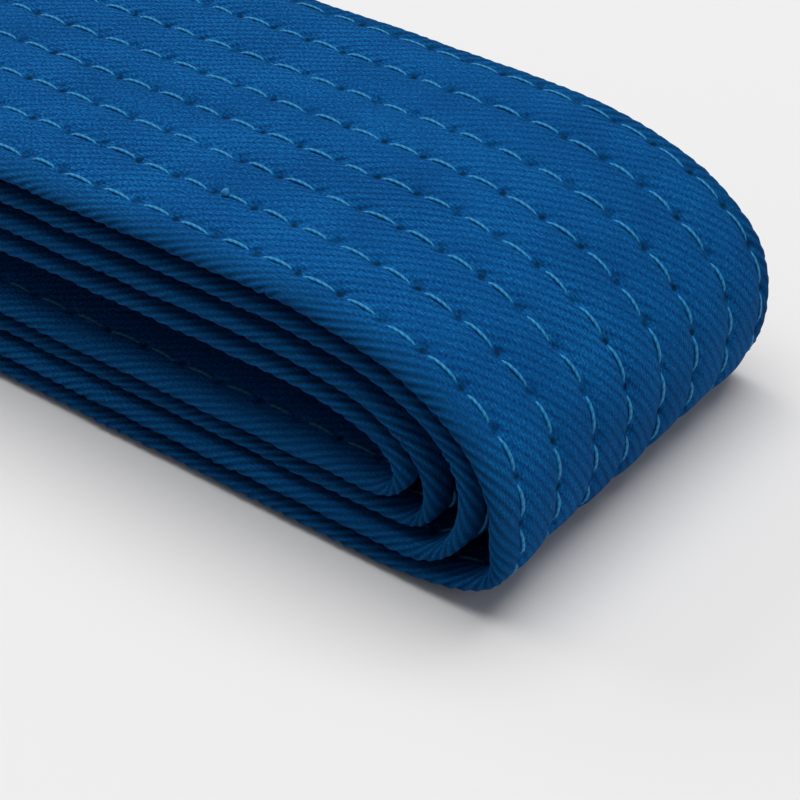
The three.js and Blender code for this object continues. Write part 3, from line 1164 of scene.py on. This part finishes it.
@dataclass
class Stitches:
    """Rows of lockstitch: one thread on each face of the strap."""

    path: WindingPath
    plan: StitchPlan
    thread: float = 0.29 * MM
    shown: float = 0.77
    sides: int = 6
    pieces: int = 5
    rise: float = 0.30 * MM
    bed: float = 0.30 * MM
    taper: float = 0.45
    taper_power: int = 5
    arch_power: float = 2.6
    flattened: tuple[float, float] = (0.92, 1.1)
    stretches: tuple[float, float] = (0.88, 1.10)
    tilt: float = 0.045
    aside: float = 0.06 * MM
    lifts: tuple[float, float] = (-0.05 * MM, 0.02 * MM)
    end_pitch: float = 3.4 * MM
    end_inset: float = 4 * MM
    knot_row: int = 1
    knot_stitch: int = 565
    knot_size: float = 0.34 * MM
    knot_along: float = 0.28
    knot_stand: float = 0.02 * MM
    knot_lumps: float = 0.07
    seed: int = 21

    def _one(self, length: float) -> bmesh.types.BMesh:
        """One stitch in the flat, an arch of thread from hole to hole.

        Args:
            length: Of the stitch.

        Returns:
            A bmesh with its length along X from 0 and its middle at height 0.
        """
        bm = bmesh.new()
        layer = bm.loops.layers.uv.new("cloth")
        bmesh.ops.create_cone(
            bm, segments=self.sides, radius1=0.5, radius2=0.5, depth=1.0, cap_ends=True
        )
        long_edges = [e for e in bm.edges if abs(e.verts[0].co.z - e.verts[1].co.z) > 0.5]
        bmesh.ops.subdivide_edges(bm, edges=long_edges, cuts=self.pieces - 1)
        for face in bm.faces:
            middle = face.calc_center_median()
            for loop in face.loops:
                co = loop.vert.co
                turn = math.atan2(co.y, co.x) / math.tau
                if turn - math.atan2(middle.y, middle.x) / math.tau < -0.5:
                    turn += 1
                loop[layer].uv = ((co.z + 0.5) * length, turn)
        for vertex in bm.verts:
            along = vertex.co.z * 2
            swell = self.thread * (1 - self.taper * abs(along) ** self.taper_power)
            drop = self.rise * abs(along) ** self.arch_power
            x, y = vertex.co.x * swell * self.flattened[0], vertex.co.y * swell * self.flattened[1]
            vertex.co = ((along + 1) / 2 * length, y, x - drop)
        bmesh.ops.recalc_face_normals(bm, faces=bm.faces)
        return bm

    def _line(self, count: int, pitch: float) -> tuple[bpy.types.Mesh, int]:
        """A straight line of stitches in the flat.

        Args:
            count: How many.
            pitch: From one to the next.

        Returns:
            The mesh, and the number of vertices in each stitch.
        """
        bm = self._one(pitch * self.shown)
        each = len(bm.verts)
        mesh = bpy.data.meshes.new("line")
        bm.to_mesh(mesh)
        bm.free()
        holder = add_object("line", mesh)
        array = holder.modifiers.new("repeat", "ARRAY")
        array.count = count
        array.use_relative_offset = False
        array.use_constant_offset = True
        array.constant_offset_displace = (pitch, 0, 0)
        ready = holder.evaluated_get(bpy.context.evaluated_depsgraph_get())
        line = bpy.data.meshes.new_from_object(ready)
        bpy.data.objects.remove(holder)
        return line, each

    def _shape(
        self, count: int, pitch: float, face: Face, seed: int
    ) -> tuple[bmesh.types.BMesh, np.ndarray]:
        """A line of stitches with the small differences of real ones.

        Args:
            count: How many.
            pitch: From one to the next.
            face: The strap's face that they are on.
            seed: For the differences.

        Returns:
            The bmesh, and its places along, across and above the strap.
        """
        line, each = self._line(count, pitch)
        bm = bmesh.new()
        bm.from_mesh(line)
        bpy.data.meshes.remove(line)
        flat = flat_places(bm)
        index = np.arange(len(flat)) // each
        rng = np.random.default_rng(seed)
        centre = (index + 0.5 * self.shown) * pitch
        along = flat[:, 0] - centre
        stretch = rng.uniform(*self.stretches, count)[index]
        tilt = rng.normal(0, self.tilt, count)[index]
        aside = rng.normal(0, self.aside, count)[index]
        lift = rng.uniform(*self.lifts, count)[index]
        base = self.path.thickness / 2 - self.bed + self.thread * 0.5
        s = centre + 0.5 * (1 - self.shown) * pitch + along * stretch
        y = flat[:, 1] + along * tilt + aside
        h = base + flat[:, 2] + lift
        if face is Face.INNER:
            bmesh.ops.reverse_faces(bm, faces=bm.faces)
        return bm, np.column_stack([s, y, h * face.value])

    def build_row(self, row: int, face: Face, finish: bpy.types.Material) -> bpy.types.Object:
        """Sew one row on one face.

        Args:
            row: Number of the row, from 0 at the near edge.
            face: The strap's face.
            finish: The thread's material.

        Returns:
            The row of thread.
        """
        count = self.plan.count(row, self.path.length)
        seed = self.seed + 2 * row + (face is Face.INNER)
        bm, places = self._shape(count, self.plan.pitch, face, seed)
        s = places[:, 0] + self.plan.first_hole(row)
        y = places[:, 1] + self.plan.row_y(row)
        move_vertices(bm, self.path.place(s, y, places[:, 2]))
        if face is Face.OUTER and row == self.knot_row:
            self._knot(bm)
        word = "needle" if face is Face.OUTER else "bobbin"
        node = f"{word}_thread_{row + 1}"
        return finish_piece(f"{word}_row_{row + 1}", bm, finish, [node])

    def _knot(self, bm: bmesh.types.BMesh) -> None:
        """Tie the small knot that shows at the start of one stitch."""
        hole = self.plan.first_hole(self.knot_row) + self.knot_stitch * self.plan.pitch
        s = np.array([hole + self.knot_along * self.plan.pitch])
        y = np.array([self.plan.row_y(self.knot_row)])
        h = np.array([self.path.thickness / 2 + self.knot_stand])
        place = self.path.place(s, y, h)[0]
        made = bmesh.ops.create_icosphere(bm, subdivisions=3, radius=1)
        layer = bm.loops.layers.uv["cloth"]
        for loop in (loop for vertex in made["verts"] for loop in vertex.link_loops):
            loop[layer].uv = (0.3 * MM + 0.25 * MM * loop.vert.co.z, 0)
        lumps = np.random.default_rng(self.seed).uniform(-1, 1, (4, 3)) * 4
        for vertex in made["verts"]:
            swell = sum(math.sin(vertex.co.dot(Vector(lump))) for lump in lumps)
            size = (1 + self.knot_lumps * swell) * self.knot_size
            vertex.co = Vector(place) + vertex.co * size

    def build_end(self, outer_end: bool, face: Face, finish: bpy.types.Material) -> bpy.types.Object:
        """Sew the cross stitching by one of the belt's free ends.

        Args:
            outer_end: Whether it is the outer free end.
            face: The strap's face.
            finish: The thread's material.

        Returns:
            The line of thread.
        """
        pitch, inset = self.end_pitch, self.end_inset
        span = self.plan.width - 2 * self.plan.margin
        count = int(span / pitch)
        bm, places = self._shape(count, pitch, face, self.seed + 50 + outer_end)
        s = np.full(len(places), self.path.length - inset if outer_end else inset)
        s = s - places[:, 1]
        y = places[:, 0] - count * pitch / 2
        move_vertices(bm, self.path.place(s, y, places[:, 2]))
        word = "needle" if face is Face.OUTER else "bobbin"
        end = "outer" if outer_end else "inner"
        node = f"end_stitch_{end}_{word}"
        return finish_piece(f"end_row_{end}_{word}", bm, finish, [node])


# ---------------------------------------------------------------- studio


@dataclass(frozen=True)
class Studio:
    """Pale floor, soft light and the camera."""

    camera_place: Place = (0.2512, -0.1346, 0.1168)
    azimuth: float = 38.97
    drop: float = 34.32
    lens: float = 112.3
    sensor: float = 36.0
    light_aim: Place = (0.1, 0, 0)
    floor_half: float = 3.0
    floor_colours: tuple[Colour, Colour] = ((0.735, 0.73, 0.73, 1), (0.755, 0.75, 0.75, 1))
    floor_roughness: float = 0.7
    floor_specular: float = 0.2
    surround: float = 0.17
    surround_seen: float = 0.86

    def build(self) -> None:
        """Set the floor, the lights and the camera."""
        self._floor()
        self._world()
        self._softbox("overhead_softbox", (0.05, 0.13, 1.1), 1.2, 14.6)
        self._softbox("left_softbox", (-1.0, 0, 0.5), 0.9, 4.8)
        self._softbox("right_softbox", (1.0, -0.2, 0.35), 0.9, 1.4)
        self._camera()

    def _floor(self) -> None:
        """A wide pale floor."""
        bm = bmesh.new()
        bmesh.ops.create_grid(bm, x_segments=1, y_segments=1, size=self.floor_half)
        mesh = bpy.data.meshes.new("floor")
        bm.to_mesh(mesh)
        bm.free()
        material, n, shader = new_material("pale_floor", self.floor_roughness, self.floor_specular)
        place = n.add("ShaderNodeTexCoord").outputs["Object"]
        n.feed(shader["Base Color"], n.blend(n.noise(place, 2.0), *self.floor_colours))
        mesh.materials.append(material)
        add_object("floor", mesh)

    def _world(self) -> None:
        """An even pale surround."""
        world = bpy.data.worlds.new("studio")
        world.use_nodes = True
        n = Nodes(world.node_tree)
        background = world.node_tree.nodes["Background"]
        background.inputs["Color"].default_value = (1.0, 0.995, 0.99, 1)
        seen = n.add("ShaderNodeLightPath").outputs["Is Camera Ray"]
        strength = n.math("MULTIPLY_ADD", seen, self.surround_seen - self.surround, self.surround)
        n.feed(background.inputs["Strength"], strength)
        bpy.context.scene.world = world

    def _softbox(self, name: str, place: Place, size: float, power: float) -> None:
        """A square soft light that points at the nested fold.

        Args:
            name: Its name.
            place: Where it stands.
            size: Its side.
            power: In watts.
        """
        light = bpy.data.lights.new(name, "AREA")
        light.shape, light.size, light.energy = "SQUARE", size, power
        lamp = add_object(name, light)
        lamp.location = place
        lamp.rotation_euler = (Vector(self.light_aim) - Vector(place)).to_track_quat("-Z", "Y").to_euler()

    def _camera(self) -> None:
        """The camera at its standing place."""
        data = bpy.data.cameras.new("camera")
        data.lens, data.sensor_width = self.lens, self.sensor
        data.clip_start, data.clip_end = 0.005, 20
        turn, drop = math.radians(self.azimuth), math.radians(self.drop)
        ahead = Vector(
            (-math.sin(turn) * math.cos(drop), math.cos(turn) * math.cos(drop), -math.sin(drop))
        )
        camera = add_object("camera", data)
        camera.location = self.camera_place
        camera.rotation_euler = ahead.to_track_quat("-Z", "Y").to_euler()
        bpy.context.scene.camera = camera
        bpy.context.scene.view_settings.view_transform = "Standard"


def main() -> None:
    """Build the studio and the belt, piece by piece."""
    logging.basicConfig(level=logging.INFO, format="%(message)s")
    Studio().build()
    path, plan = WindingPath(), StitchPlan()
    LOG.info("belt length %.4f m", path.length)
    twill, cotton = TwillFinish().build(), CottonFinish().build()
    needle, bobbin = ThreadFinish().build(), SHADED_BOBBIN_THREAD.build()
    threads = {Face.OUTER: needle, Face.INNER: bobbin}
    cover = QuiltedCover(path, plan).build(twill, ["cover"])
    sewing = Stitches(path, plan)
    lines = [
        sewing.build_row(row, face, threads[face]) for face in Face for row in range(plan.rows)
    ]
    lines += [
        sewing.build_end(outer, face, threads[face]) for outer in (False, True) for face in Face
    ]
    for face in Face:
        CorePly(path, face).build(cotton)


if __name__ == "__main__":
    main()
